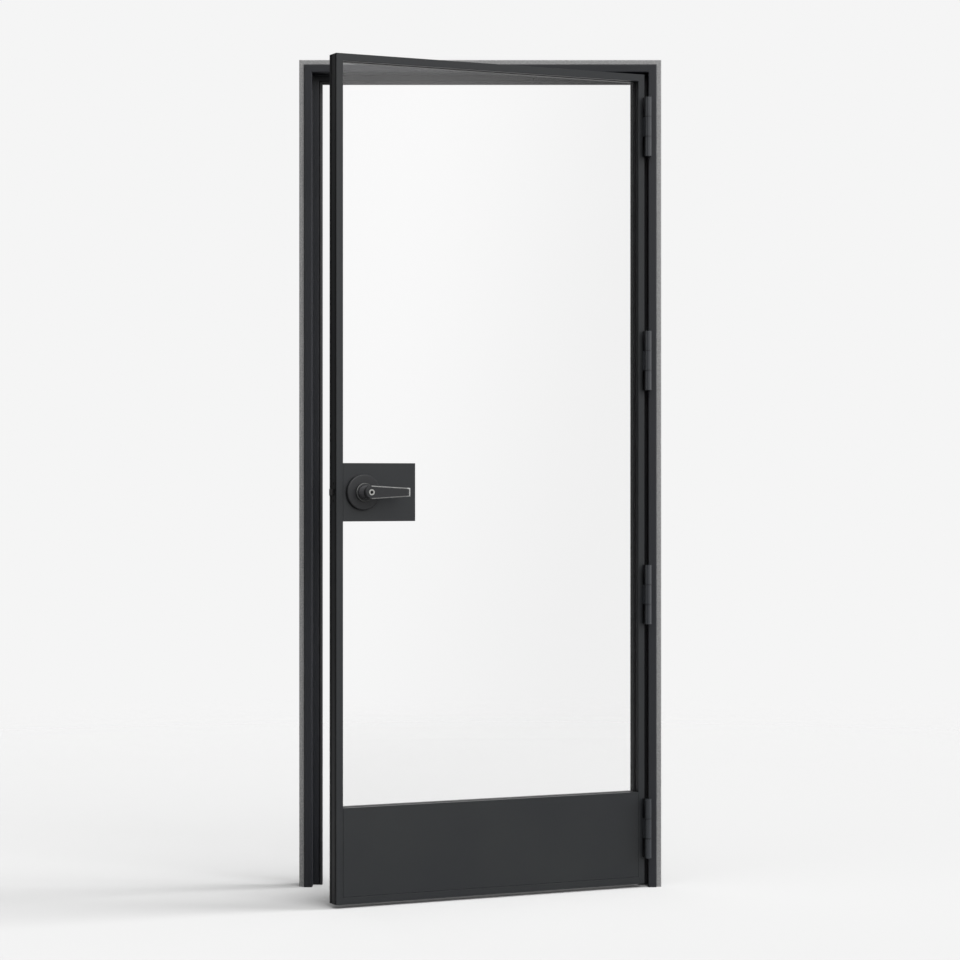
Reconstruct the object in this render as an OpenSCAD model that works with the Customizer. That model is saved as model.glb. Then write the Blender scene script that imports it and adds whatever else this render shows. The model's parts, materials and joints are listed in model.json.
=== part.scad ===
// Glazed steel swing door in its three-sided steel frame, leaf standing ajar.
// Millimetres. X runs along the wall, Y from the pull side to the push side,
// Z up. The origin is on the floor, mid-opening, on the frame's front face.

/* [Frame] */
// Width of the frame over its jambs
frame_w = 914.4; // [760:0.1:1220]
// Height of the frame from the floor
frame_h = 2133.6; // [1980:0.1:2440]
// Depth of the frame from front to back
frame_d = 76.2; // [72:0.1:160]
// Width of the frame's front face
face_w = 21.5; // [20:0.1:40]
// How far the stop stands in past the rabbet
stop_h = 15.9; // [12:0.1:25]
// Thickness of the folded frame sheet
frame_t = 1.9; // [1.5:0.1:2.5]
// Inside radius of the folds
bend_r = 0.8; // [0.5:0.1:2]
// Length of the returns beside the open throat
return_w = 14; // [13:0.5:20]

/* [Sub-frame] */
// Width of the galvanised channel round the frame
subframe_w = 12.7; // [8:0.1:25]
// How far the channel lies behind the frame's faces
subframe_setback = 10; // [6:0.5:11]
// Thickness of the channel sheet
subframe_t = 1.9; // [1.5:0.1:2.5]

/* [Wall anchors] */
// Diameter of the anchor holes
anchor_d = 10; // [6:0.5:12]
// Depth of the anchor holes behind the frame's front
anchor_y = 25; // [20:0.5:30]
// Distance of a jamb's anchors from the middle of the nearest hinge
anchor_offset = 150; // [125:1:200]
// Distance between the two anchors of the head
head_anchor_pitch = 500; // [200:1:600]

/* [Leaf] */
// Angle at which the leaf stands open
open_angle = 25.5; // [0:0.5:90]
// Thickness of the leaf
leaf_t = 44.45; // [42:0.05:48]
// Gap between leaf and hinge jamb
hinge_gap = 3.2; // [2.5:0.1:5]
// Gap between leaf and lock jamb
lock_gap = 4.8; // [3:0.1:7]
// Gap between leaf and head
head_gap = 6; // [3:0.1:8]
// Gap between leaf and floor
floor_gap = 10; // [5:0.5:20]
// Gap between the shut leaf and the stop
stop_gap = 3.2; // [2:0.1:5]
// Width of stiles and rails seen from the front
sight_w = 18; // [16:0.5:30]
// Width of the bars' web beside the glass
web_w = 11; // [10:0.5:14]
// Depth of the front lip in front of the glass
lip_d = 13; // [12:0.5:16]
// Depth of the glazing beads behind the glass
bead_d = 20; // [16:0.5:21]
// Rounding of the bars' edges
edge_r = 0.8; // [0.3:0.1:1]

/* [Lock edge grooves] */
// Width of a groove
groove_w = 6.6; // [4:0.1:7]
// Depth of a groove
groove_depth = 3.5; // [2:0.1:4]
// Distance of the front groove from the leaf's front
front_groove_y = 3; // [2:0.1:4]
// Distance of the rear groove from the leaf's front
rear_groove_y = 29.6; // [29:0.1:32]
// How far the seals lie below the leaf's edge
groove_seal_recess = 1; // [0.5:0.1:1.5]

/* [Glazing] */
// Thickness of the glass
glass_t = 8; // [6:0.5:10]
// How far the glass reaches in behind the lips
glass_bite = 6; // [4:0.5:6.5]
// Radius of the glass corners round the lock box
notch_r = 8; // [2:0.5:12]
// Height of the setting blocks under the glass
block_h = 4; // [3:0.5:6]
// Length of a setting block
block_w = 80; // [50:1:150]
// Greatest distance between the screws of a bead
bead_screw_pitch = 300; // [200:10:400]
// Distance of a bead's end screws from its ends
bead_screw_inset = 60; // [40:1:100]
// Distance of the bead screws from the leaf's back
bead_screw_edge = 8; // [6:0.1:9]

/* [Kick panel] */
// Height of the kick panel's top edge
kick_top = 248; // [150:1:400]
// Thickness of the folded panel sheet
pan_t = 1.5; // [1:0.1:2]
// Width of the seam round the kick panel
pan_seam = 0.4; // [0.3:0.1:1.5]
// Width of the flange folded in behind the panels
flange_w = 12; // [8:0.5:14]

/* [Lock box] */
// Width of the lock box beside the lock stile
lock_box_w = 194.5; // [170:0.5:230]
// Height of the lock box
lock_box_h = 144; // [125:0.5:180]
// Height of the spindle, at the middle of the lock box, above the floor
spindle_z = 1025.5; // [990:0.5:1060]
// Distance of the spindle from the lock edge
backset = 70; // [66:0.5:76]
// Diameter of the lock chassis
chassis_d = 52; // [48:0.5:52]
// Diameter of the chassis hubs that carry the roses
chassis_hub_d = 38; // [36:0.5:40]
// Length of a chassis hub
chassis_hub_h = 9; // [7:0.5:9]
// Room round the chassis in the lock box
chassis_room = 1; // [0.5:0.1:2]

/* [Lever trim] */
// Diameter of a rose
rose_d = 89; // [80:0.5:96]
// Thickness of a rose
rose_t = 10; // [9.5:0.5:12]
// Height of a rose's straight rim
rose_rim = 3; // [1:0.5:5]
// Width of each slope inside the rim
rose_slope = 5; // [2:0.5:8]
// Diameter of the rose's raised collar
collar_d = 45; // [42:0.5:50]
// Height of the collar above the leaf
collar_h = 16; // [14:0.5:18]
// Diameter of a lever's neck
neck_d = 33; // [28:0.5:34]
// Distance of a lever's outer face from the leaf
lever_reach = 58; // [55:0.5:70]
// Thickness of a lever
lever_t = 14; // [12:0.5:16]
// Length of a lever from the spindle to its tip
lever_len = 104; // [90:1:120]
// Height of a lever at its tip
lever_tip_h = 21; // [16:0.5:26]
// Bevel round a lever's faces
lever_bevel = 2.5; // [1:0.1:4]
// Diameter of a spindle
spindle_d = 20; // [16:0.5:20]
// Diameter of the key cylinder
cylinder_d = 15; // [13:0.5:18]
// Length of the key cylinder in the lever
cylinder_l = 25; // [20:0.5:28]
// How far the key cylinder stands out of the lever
cylinder_proud = 0.8; // [0.5:0.1:2]
// Diameter of the key plug
plug_d = 8; // [7:0.1:9]
// How far the plug lies inside the cylinder
plug_recess = 1; // [0.5:0.1:2]
// Width of the keyway
keyway_w = 1.6; // [1:0.1:2]
// Height of the keyway
keyway_h = 6; // [4:0.1:6.5]

/* [Latch and strike] */
// How far the latch bolt stands out of the leaf
latch_throw = 12.7; // [10:0.1:14]
// Thickness of the latch bolt
bolt_t = 12; // [10:0.1:13]
// Height of the latch bolt
bolt_h = 16; // [12:0.1:17]
// Diameter of the latch case
latch_case_d = 23; // [22:0.1:24]
// Width of the latch faceplate
faceplate_w = 19; // [17:0.1:19.5]
// Height of the latch faceplate
faceplate_h = 57; // [50:0.5:64]
// Thickness of the latch faceplate
faceplate_t = 2.4; // [2:0.1:3]
// Width of the strike plate
strike_w = 26; // [24:0.1:27]
// Height of the strike plate
strike_h = 70; // [64:0.5:76]
// Play of the bolt in the strike, on each side
strike_play = 2; // [1:0.1:2.5]
// Depth of the strike box behind the strike plate
strike_box_d = 12; // [11:0.1:13]
// Thickness of the strike box walls
strike_wall = 1.5; // [1:0.1:2]
// How far the strike box laps the jamb above and below the plate
strike_lap_h = 10; // [6:0.5:14]
// How far the strike box laps the jamb beside the plate
strike_lap_w = 3; // [2:0.1:3.5]
// Distance of the screws from the ends of faceplate and strike
lock_screw_inset = 7; // [6:0.1:8]

/* [Hinges] */
// Height of a hinge
hinge_h = 153; // [120:1:180]
// Diameter of the barrel
barrel_d = 17; // [15:0.1:18]
// Diameter of the hinge pin
pin_d = 8; // [6:0.1:9]
// Thickness of a hinge plate
plate_t = 6.35; // [5:0.05:7]
// Depth to which the plates run behind the faces
plate_reach = 38; // [34:0.5:40]
// Distance of the pin axis in front of the faces
pin_front = 16.2; // [14:0.1:20]
// Gap between knuckles, which holds a washer
knuckle_gap = 1.4; // [0.6:0.1:1.5]
// How far the leaf plate is cut back beside the fixed knuckles
plate_cutback = 10; // [6:0.5:12]
// Height of the middle of the lowest hinge
lowest_hinge_z = 154.4; // [140:0.1:180]
// Distance of the middle of the highest hinge below the frame's top
highest_hinge_drop = 163.9; // [150:0.1:200]
// Distance of the rear screws from a plate's rear edge
hinge_screw_edge = 8; // [7:0.5:9]
// Distance between the front screws and the rear ones
hinge_screw_step = 12; // [11:0.5:14]
// Height between the front screws of a plate
front_screw_pitch = 120; // [105:1:130]
// Height between the rear screws of a plate
rear_screw_pitch = 48; // [30:1:70]
// Thickness of the steel block behind a hinge
hinge_block_t = 14; // [13:0.5:16]
// How far the block runs past each end of a hinge
hinge_block_lap = 20; // [10:1:25]

/* [Seal] */
// Width of the rubber seal on the stop
seal_w = 8.3; // [6:0.1:10]
// Length of the seal's foot along the stop
seal_foot = 12; // [8:0.5:16]

/* [Fits] */
// Clearance of round parts that turn in each other
running_fit = 0.05; // [0.02:0.01:0.1]
// Clearance of parts that slide or sit in a pocket
pocket_fit = 0.2; // [0.1:0.05:0.3]
// Clearance between a lever's neck and its collar
neck_fit = 0.5; // [0.3:0.1:0.8]
// Gap between the seal and the shut leaf
seal_clearance = 0.3; // [0.2:0.1:1]

/* [Screws] */
// Diameter of a screw's countersunk head
screw_head_d = 9; // [7:0.5:10]
// Diameter of a screw's shank
screw_d = 4.8; // [4:0.1:5]
// Length of a hinge screw
hinge_screw_l = 9.6; // [9:0.1:10]
// Length of a lock screw
lock_screw_l = 7; // [6:0.1:8]
// Length of a bead screw
bead_screw_l = 10; // [9:0.1:10.5]
// Width of a screw's hexagon socket
socket_d = 3; // [2.5:0.1:3.5]
// Depth of the socket
socket_depth = 1.3; // [1:0.1:1.5]

/* [Hidden] */

$fn = 64;
paint = "#3b3d40";
leaf_paint = "#434446";
trim_paint = "#3a3b3d";
zinc = "#8c8c8c";
rubber = "#1c1c1c";
steel = "#b8b8b6";

bend_steps = 3;
past = 1;

// Frame section: u runs in from the frame's outside, then depth
rabbet_d = leaf_t + stop_gap;
stop_u = face_w + stop_h;
frame_reach = stop_u + seal_w + past;
subframe_d = frame_d - 2 * subframe_setback;

// Leaf: its own X starts at the lock edge
leaf_left = lock_gap + face_w - frame_w / 2;
leaf_w = frame_w - 2 * face_w - lock_gap - hinge_gap;
leaf_top = frame_h - face_w - head_gap;
leaf_h = leaf_top - floor_gap;
pin_x = frame_w / 2 - face_w - hinge_gap / 2;

// Glazing
glass_slot = leaf_t - lip_d - bead_d;
gasket_t = (glass_slot - glass_t) / 2;
bead_y = lip_d + glass_slot;
glass_edge = sight_w - glass_bite;
glass_bottom = kick_top - glass_bite;
block_pitch = leaf_w / 2;
bead_top = leaf_top - sight_w;

// Lock box
box_right = sight_w + lock_box_w;
box_bottom = spindle_z - lock_box_h / 2;
box_top = box_bottom + lock_box_h;
box_hole_d = chassis_d + 2 * chassis_room;
latch_y = (front_groove_y + groove_w + rear_groove_y) / 2;
latch_case_l = backset - chassis_d / 2 - faceplate_t - pocket_fit;
bolt_l = latch_case_l - latch_throw;
faceplate_screw_pitch = faceplate_h - 2 * lock_screw_inset;
strike_screw_pitch = strike_h - 2 * lock_screw_inset;
strike_flange_w = strike_w + 2 * strike_lap_w;
strike_flange_h = strike_h + 2 * strike_lap_h;

// Lever trim: heights are measured outwards from the leaf's face
neck_start = rose_t - neck_fit;
cylinder_start = lever_reach - cylinder_l;
lever_hub_r = neck_d / 2;

// Hinges
hinge_count = 4;
hinge_pitch = (frame_h - highest_hinge_drop - lowest_hinge_z) / (hinge_count - 1);
hinge_heights = [for (i = [0:hinge_count - 1]) lowest_hinge_z + i * hinge_pitch];
anchor_heights = [for (i = [0:hinge_count - 1]) hinge_heights[i] + (i % 2 == 0 ? 1 : -1) * anchor_offset];
knuckle_h = (hinge_h - 2 * knuckle_gap) / 3;
hinge_block_h = hinge_h + 2 * hinge_block_lap;
screw_head_h = (screw_head_d - screw_d) / 2;
front_screw_y = plate_reach - hinge_screw_edge - hinge_screw_step;
rear_screw_y = plate_reach - hinge_screw_edge;
hinge_screw_spots = [
    for (side = [-1, 1]) each [
        [front_screw_y, side * front_screw_pitch / 2],
        [rear_screw_y, side * rear_screw_pitch / 2]
    ]
];

// Points of an arc that replaces the corner b between a and c
function corner_arc(a, b, c, r) =
    let(
        to_a = (a - b) / norm(a - b),
        to_c = (c - b) / norm(c - b),
        half = acos(to_a * to_c) / 2,
        centre = b + (to_a + to_c) / norm(to_a + to_c) * r / sin(half),
        first = b + to_a * r / tan(half) - centre,
        last = b + to_c * r / tan(half) - centre,
        start = atan2(first.y, first.x),
        turn = (atan2(last.y, last.x) - start + 540) % 360 - 180
    )
    [for (i = [0:bend_steps]) centre + r * [cos(start + turn * i / bend_steps), sin(start + turn * i / bend_steps)]];

// Closed outline whose corners are rounded, each by its own radius
function rounded(points, radii) =
    let(n = len(points))
    [for (i = [0:n - 1])
        each radii[i] == 0
            ? [points[i]]
            : corner_arc(points[(i + n - 1) % n], points[i], points[(i + 1) % n], radii[i])];

// Wedge-ended zone, drawn in X and Z, that mitres a bar
module zone(points) {
    rotate([90, 0, 0]) linear_extrude(4 * frame_d, center = true) polygon(points);
}

// Upright bar on the left of a rectangle, with its section as child.
// foot is how much the lower end rises over the reach of the section.
module left_bar(bottom, top, reach, foot) {
    intersection() {
        translate([0, 0, bottom]) linear_extrude(top - bottom) children();
        zone([[0, bottom], [reach, bottom + foot], [reach, top - reach], [0, top]]);
    }
}

// Level bar along the top of a rectangle of width w, mitred at both ends
module top_bar(w, top, reach) {
    intersection() {
        translate([0, 0, top]) rotate([0, 90, 0]) linear_extrude(w) children();
        zone([[0, top], [reach, top - reach], [w - reach, top - reach], [w, top]]);
    }
}

// Level bar along the bottom of a rectangle of width w, mitred at both ends
module bottom_bar(w, bottom, reach) {
    intersection() {
        translate([w, 0, bottom]) rotate([0, -90, 0]) linear_extrude(w) children();
        zone([[0, bottom], [w, bottom], [w - reach, bottom + reach], [reach, bottom + reach]]);
    }
}

// Sheet-steel frame section with its rabbet, stop and open throat
module frame_section() {
    outer = [
        [0, return_w], [0, 0], [face_w, 0], [face_w, rabbet_d],
        [stop_u, rabbet_d], [stop_u, frame_d], [0, frame_d], [0, frame_d - return_w]
    ];
    inner = [
        [frame_t, frame_d - return_w], [frame_t, frame_d - frame_t], [stop_u - frame_t, frame_d - frame_t],
        [stop_u - frame_t, rabbet_d + frame_t], [face_w - frame_t, rabbet_d + frame_t],
        [face_w - frame_t, frame_t], [frame_t, frame_t], [frame_t, return_w]
    ];
    outside = bend_r + frame_t;
    polygon(rounded(
        concat(outer, inner),
        [0, outside, outside, bend_r, outside, outside, outside, 0,
         0, bend_r, bend_r, bend_r, outside, bend_r, bend_r, 0]
    ));
}

// Galvanised channel section, its web against the wall
module subframe_section() {
    near = subframe_setback;
    far = frame_d - subframe_setback;
    outside = bend_r + subframe_t;
    polygon(rounded(
        [[0, near], [subframe_w, near], [subframe_w, near + subframe_t], [subframe_t, near + subframe_t],
         [subframe_t, far - subframe_t], [subframe_w, far - subframe_t], [subframe_w, far], [0, far]],
        [outside, 0, 0, bend_r, bend_r, 0, 0, outside]
    ));
}

// Rubber seal: a round bulb in front of the stop and a flat foot along it
module seal_section() {
    bulb_y = leaf_t + seal_clearance + seal_w / 2;
    translate([stop_u + seal_w / 2, bulb_y]) circle(d = seal_w);
    translate([stop_u, bulb_y]) square([seal_w, rabbet_d + seal_foot - bulb_y]);
}

// Even places between two ends, no further apart than a pitch
function spread(first, last, pitch) =
    let(steps = ceil((last - first) / pitch))
    [for (i = [0:steps]) first + (last - first) * i / steps];

// Steel bar section of the leaf, with the lip that holds the glass in front
module leaf_section() {
    polygon(rounded(
        [[0, 0], [sight_w, 0], [sight_w, lip_d], [web_w, lip_d], [web_w, leaf_t], [0, leaf_t]],
        [edge_r, edge_r, edge_r, 0, edge_r, edge_r]
    ));
}

// The two grooves along the lock edge
module groove_section(bottom, depth) {
    for (y = [front_groove_y, rear_groove_y]) translate([bottom, y]) square([depth, groove_w]);
}

// Glazing bead section behind the glass
module bead_section() {
    polygon(rounded(
        [[web_w, bead_y], [sight_w, bead_y], [sight_w, leaf_t], [web_w, leaf_t]],
        [0, edge_r, edge_r, 0]
    ));
}

// Puts what is drawn from the frame's outer left corner in its place
module in_frame() {
    translate([-frame_w / 2, 0, 0]) children();
}

// Puts what is drawn on the left of the frame on its right instead
module on_right(w) {
    translate([w, 0, 0]) mirror([1, 0, 0]) children();
}

// Puts what is drawn on the shut leaf where the open leaf stands
module on_leaf() {
    translate([pin_x, -pin_front, 0])
        rotate([0, 0, open_angle])
            translate([leaf_left - pin_x, pin_front, 0]) children();
}

// Round hole or rod along X, between two places
module along_x(x, l, y, z, d) {
    translate([x, y, z]) rotate([0, 90, 0]) cylinder(d = d, h = l);
}

// Anchor holes of one jamb, through the frame and its channel
module jamb_anchor_holes() {
    for (z = anchor_heights) along_x(-subframe_w - past, subframe_w + stop_u, anchor_y, z, anchor_d);
}

// Anchor holes of the head
module head_anchor_holes() {
    for (side = [-1, 1])
        translate([frame_w / 2 + side * head_anchor_pitch / 2, anchor_y, frame_h - stop_u])
            cylinder(d = anchor_d, h = stop_u + subframe_w + past);
}

// Countersunk screw pointing along +Z, its head flush at Z = 0
module screw(l, room) {
    cylinder(d1 = screw_head_d + 2 * room, d2 = screw_d + 2 * room, h = screw_head_h);
    cylinder(d = screw_d + 2 * room, h = l + room);
    if (room > 0) translate([0, 0, -past]) cylinder(d = screw_head_d + 2 * room, h = past);
}

// Screw with its hexagon socket
module socket_screw(l) {
    difference() {
        screw(l, 0);
        translate([0, 0, -past]) cylinder(d = socket_d, h = past + socket_depth, $fn = 6);
    }
}

// Spots of a hinge plate's screws, pointing into the steel along +X
module at_hinge_screws(z) {
    for (spot = hinge_screw_spots) translate([0, spot[0], z + spot[1]]) rotate([0, 90, 0]) children();
}

// Pocket for a hinge plate, cut in from X = 0
module hinge_pocket(z) {
    translate([-past, -past, z - hinge_h / 2 - pocket_fit])
        cube([past + plate_t, past + plate_reach + pocket_fit, hinge_h + 2 * pocket_fit]);
    at_hinge_screws(z) screw(hinge_screw_l, pocket_fit / 2);
}

// Flat hinge plate in its pocket, drilled for its screws
module hinge_plate(z, front) {
    difference() {
        translate([0, front, z - hinge_h / 2]) cube([plate_t, plate_reach - front, hinge_h]);
        at_hinge_screws(z) screw(hinge_screw_l, pocket_fit / 2);
    }
}

// One knuckle with the arm that joins it to its plate at X = 0
module knuckle(bottom) {
    difference() {
        union() {
            translate([-hinge_gap / 2, -pin_front, bottom]) cylinder(d = barrel_d, h = knuckle_h);
            translate([0, -pin_front, bottom]) cube([plate_t, pin_front + plate_cutback, knuckle_h]);
        }
        translate([-hinge_gap / 2, -pin_front, bottom - past])
            cylinder(d = pin_d + 2 * running_fit, h = knuckle_h + 2 * past);
    }
}

// Hinge half on the frame: the plate, with the upper and the lower knuckle
module frame_plate(i) {
    z = hinge_heights[i];
    color(trim_paint) in_frame() translate([frame_w - face_w, 0, 0]) {
        hinge_plate(z, 0);
        for (side = [-1, 1])
            knuckle(z - knuckle_h / 2 + side * (knuckle_h + knuckle_gap));
    }
}

// Hinge half on the leaf: the plate, with the middle knuckle
module leaf_plate(i) {
    z = hinge_heights[i];
    color(trim_paint) on_leaf() on_right(leaf_w) {
        hinge_plate(z, plate_cutback);
        knuckle(z - knuckle_h / 2);
    }
}

// Hinge pin, as long as the barrel
module hinge_pin(i) {
    color(steel) translate([pin_x, -pin_front, hinge_heights[i] - hinge_h / 2]) cylinder(d = pin_d, h = hinge_h);
}

// Sheet pan folded from one blank, open behind, with flanges turned in.
// It has no wall on its left where it is welded to a stile.
module folded_pan(w, d, h, left_wall) {
    left = left_wall ? pan_t : -past;
    left_flange = left_wall ? flange_w : -past;
    difference() {
        cube([w, d, h]);
        translate([left, pan_t, pan_t]) cube([w - pan_t - left, d - 2 * pan_t, h - 2 * pan_t]);
        translate([left_flange, pan_t, flange_w])
            cube([w - flange_w - left_flange, d, h - 2 * flange_w]);
    }
}

// Outline of the glass in the leaf's plane, with a notch for the lock box
module glass_outline(grow, r) {
    left = sight_w - grow;
    right = leaf_w - sight_w + grow;
    bottom = kick_top - grow;
    top = bead_top + grow;
    polygon(rounded(
        [[left, bottom], [right, bottom], [right, top], [left, top],
         [left, box_top - grow], [box_right - grow, box_top - grow],
         [box_right - grow, box_bottom + grow], [left, box_bottom + grow]],
        [0, 0, 0, 0, 0, r, r, 0]
    ));
}

// Sheet of thickness t in the leaf's plane, from depth y
module upright_sheet(y, t) {
    translate([0, y + t, 0]) rotate([90, 0, 0]) linear_extrude(t) children();
}

// Rubber strip between glass and steel, all round the glass
module gasket(y) {
    color(rubber) on_leaf() upright_sheet(y, gasket_t) difference() {
        glass_outline(glass_bite, notch_r);
        glass_outline(0, 0);
    }
}

// Spots of an upright bead's screws, pointing out into the left stile
module side_bead_screw_spots(bottom, top) {
    for (z = spread(bottom + bead_screw_inset, top - bead_screw_inset, bead_screw_pitch))
        translate([sight_w, leaf_t - bead_screw_edge, z]) rotate([0, -90, 0]) children();
}

// Spots of the screws of both beads on the lock side
module lock_bead_screw_spots() {
    side_bead_screw_spots(kick_top, box_bottom) children();
    side_bead_screw_spots(box_top, bead_top) children();
}

// Spots of the top bead's screws, pointing up into the rail
module top_bead_screw_spots() {
    first = sight_w + bead_screw_inset;
    for (x = spread(first, leaf_w - first, bead_screw_pitch))
        translate([x, leaf_t - bead_screw_edge, bead_top]) children();
}

// Hole for a bead screw
module bead_screw_hole() {
    screw(bead_screw_l, pocket_fit / 2);
}

// Puts trim that stands out along +Z on the leaf's front, at the spindle
module on_outside() {
    on_leaf() translate([backset, 0, spindle_z]) rotate([90, 0, 0]) children();
}

// Puts the same trim on the leaf's back
module on_inside() {
    on_leaf() translate([backset, leaf_t, spindle_z]) rotate([90, 0, 0]) mirror([0, 0, 1]) children();
}

// Rose with sloping rim and raised collar, turned from one piece
module rose() {
    hub_r = chassis_hub_d / 2 + pocket_fit;
    rim_r = rose_d / 2;
    collar_r = collar_d / 2;
    neck_r = neck_d / 2 + neck_fit;
    color(trim_paint) rotate_extrude() polygon([
        [hub_r, 0], [rim_r, 0], [rim_r, rose_rim], [rim_r - rose_slope, rose_t - 1], [rim_r - 2 * rose_slope, rose_t],
        [collar_r, rose_t], [collar_r, collar_h - 1], [collar_r - 1, collar_h], [neck_r, collar_h],
        [neck_r, rose_t], [hub_r, rose_t]
    ]);
}

// Outline of a lever seen from the front, tapering to its tip
module lever_outline(inset) {
    offset(delta = -inset) {
        circle(r = lever_hub_r);
        polygon([[0, -lever_hub_r], [lever_len, -lever_tip_h / 2], [lever_len, lever_tip_h / 2], [0, lever_hub_r]]);
    }
}

// Lever with a bevelled hand piece and a round neck that sits on its spindle
module lever() {
    back = lever_reach - lever_t;
    difference() {
        union() {
            hull() {
                translate([0, 0, back]) linear_extrude(lever_t) lever_outline(lever_bevel);
                translate([0, 0, back + lever_bevel]) linear_extrude(lever_t - 2 * lever_bevel) lever_outline(0);
            }
            translate([0, 0, neck_start]) cylinder(d = neck_d, h = back - neck_start + lever_bevel);
        }
        translate([0, 0, neck_start - past])
            cylinder(d = spindle_d + 2 * running_fit, h = cylinder_start - neck_start + past);
    }
}

// Tubular spindle between the lever and the middle of the chassis
module spindle() {
    color(steel) translate([0, 0, pocket_fit - leaf_t / 2])
        cylinder(d = spindle_d, h = leaf_t / 2 + cylinder_start - 2 * pocket_fit);
}

// Frame

module lock_jamb() {
    color(paint) in_frame() difference() {
        left_bar(0, frame_h, frame_reach, 0) frame_section();
        jamb_anchor_holes();
        translate([face_w - frame_t - past, latch_y - strike_w / 2 - pocket_fit, spindle_z - strike_h / 2 - pocket_fit])
            cube([frame_t + 2 * past, strike_w + 2 * pocket_fit, strike_h + 2 * pocket_fit]);
    }
}

module hinge_jamb() {
    color(paint) in_frame() on_right(frame_w) difference() {
        union() {
            left_bar(0, frame_h, frame_reach, 0) frame_section();
            for (z = hinge_heights)
                translate([face_w - hinge_block_t, frame_t, z - hinge_block_h / 2])
                    cube([hinge_block_t - frame_t, rabbet_d - frame_t, hinge_block_h]);
        }
        jamb_anchor_holes();
        for (z = hinge_heights) translate([face_w, 0, 0]) mirror([1, 0, 0]) hinge_pocket(z);
    }
}

module head_jamb() {
    color(paint) in_frame() difference() {
        top_bar(frame_w, frame_h, frame_reach) frame_section();
        head_anchor_holes();
    }
}

module side_subframe() {
    color(zinc) difference() {
        translate([-subframe_w, 0, 0])
            left_bar(0, frame_h + subframe_w, subframe_w, 0) subframe_section();
        jamb_anchor_holes();
    }
}

module lock_subframe() {
    in_frame() side_subframe();
}

module hinge_subframe() {
    in_frame() on_right(frame_w) side_subframe();
}

module head_subframe() {
    color(zinc) in_frame() difference() {
        translate([-subframe_w, 0, 0])
            top_bar(frame_w + 2 * subframe_w, frame_h + subframe_w, subframe_w) subframe_section();
        head_anchor_holes();
    }
}

module side_seal() {
    color(rubber) left_bar(0, frame_h, frame_reach, 0) seal_section();
}

module lock_jamb_seal() {
    in_frame() side_seal();
}

module hinge_jamb_seal() {
    in_frame() on_right(frame_w) side_seal();
}

module head_seal() {
    color(rubber) in_frame() top_bar(frame_w, frame_h, frame_reach) seal_section();
}

// Strike

// Puts what points into the lock jamb along +X at the latch's height
module at_strike() {
    in_frame() translate([face_w, latch_y, spindle_z]) mirror([1, 0, 0]) children();
}

module strike_window(x, l, wall) {
    w = bolt_t + 2 * (strike_play + wall);
    h = bolt_h + 2 * (strike_play + wall);
    translate([x, -w / 2, -h / 2]) cube([l, w, h]);
}

module strike_screw_spots() {
    for (side = [-1, 1]) translate([0, 0, side * strike_screw_pitch / 2]) rotate([0, 90, 0]) children();
}

module strike_plate() {
    color(trim_paint) at_strike() difference() {
        translate([0, -strike_w / 2, -strike_h / 2]) cube([frame_t, strike_w, strike_h]);
        strike_window(-past, frame_t + 2 * past, 0);
        strike_screw_spots() screw(lock_screw_l, pocket_fit / 2);
    }
}

module strike_box() {
    color(zinc) at_strike() translate([frame_t, 0, 0]) difference() {
        union() {
            translate([0, -strike_flange_w / 2, -strike_flange_h / 2])
                cube([strike_wall, strike_flange_w, strike_flange_h]);
            strike_window(0, strike_box_d, strike_wall);
        }
        strike_window(-past, strike_box_d + past - strike_wall, 0);
        translate([-frame_t, 0, 0]) strike_screw_spots() screw(lock_screw_l, pocket_fit / 2);
    }
}

module strike_screws() {
    color(steel) at_strike() strike_screw_spots() socket_screw(lock_screw_l);
}

// Hinges

module hinge_1_frame_plate() { frame_plate(0); }
module hinge_2_frame_plate() { frame_plate(1); }
module hinge_3_frame_plate() { frame_plate(2); }
module hinge_4_frame_plate() { frame_plate(3); }

module hinge_1_pin() { hinge_pin(0); }
module hinge_2_pin() { hinge_pin(1); }
module hinge_3_pin() { hinge_pin(2); }
module hinge_4_pin() { hinge_pin(3); }

module hinge_1_leaf_plate() { leaf_plate(0); }
module hinge_2_leaf_plate() { leaf_plate(1); }
module hinge_3_leaf_plate() { leaf_plate(2); }
module hinge_4_leaf_plate() { leaf_plate(3); }

module hinge_washers() {
    washer_t = knuckle_gap - pocket_fit;
    color(steel) for (z = hinge_heights, side = [-1, 1])
        translate([pin_x, -pin_front, z + side * (knuckle_h + knuckle_gap) / 2 - washer_t / 2])
            difference() {
                cylinder(d = barrel_d - pocket_fit, h = washer_t);
                translate([0, 0, -past]) cylinder(d = pin_d + 2 * running_fit, h = washer_t + 2 * past);
            }
}

module hinge_frame_screws() {
    color(steel) in_frame() translate([frame_w - face_w, 0, 0])
        for (z = hinge_heights) at_hinge_screws(z) socket_screw(hinge_screw_l);
}

module hinge_leaf_screws() {
    color(steel) on_leaf() on_right(leaf_w)
        for (z = hinge_heights) at_hinge_screws(z) socket_screw(hinge_screw_l);
}

// Leaf

module lock_stile() {
    color(leaf_paint) on_leaf() difference() {
        left_bar(floor_gap, leaf_top, sight_w, sight_w) difference() {
            leaf_section();
            groove_section(-past, groove_depth + past);
        }
        at_latch() {
            translate([-past, -faceplate_w / 2 - pocket_fit, -faceplate_h / 2 - pocket_fit])
                cube([past + faceplate_t, faceplate_w + 2 * pocket_fit, faceplate_h + 2 * pocket_fit]);
            along_x(0, sight_w + past, 0, 0, latch_case_d + pocket_fit);
            faceplate_screw_spots() screw(lock_screw_l, pocket_fit / 2);
        }
        lock_bead_screw_spots() bead_screw_hole();
    }
}

module hinge_stile() {
    color(leaf_paint) on_leaf() on_right(leaf_w) difference() {
        left_bar(floor_gap, leaf_top, sight_w, sight_w) leaf_section();
        for (z = hinge_heights) hinge_pocket(z);
        side_bead_screw_spots(kick_top, bead_top) bead_screw_hole();
    }
}

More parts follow.
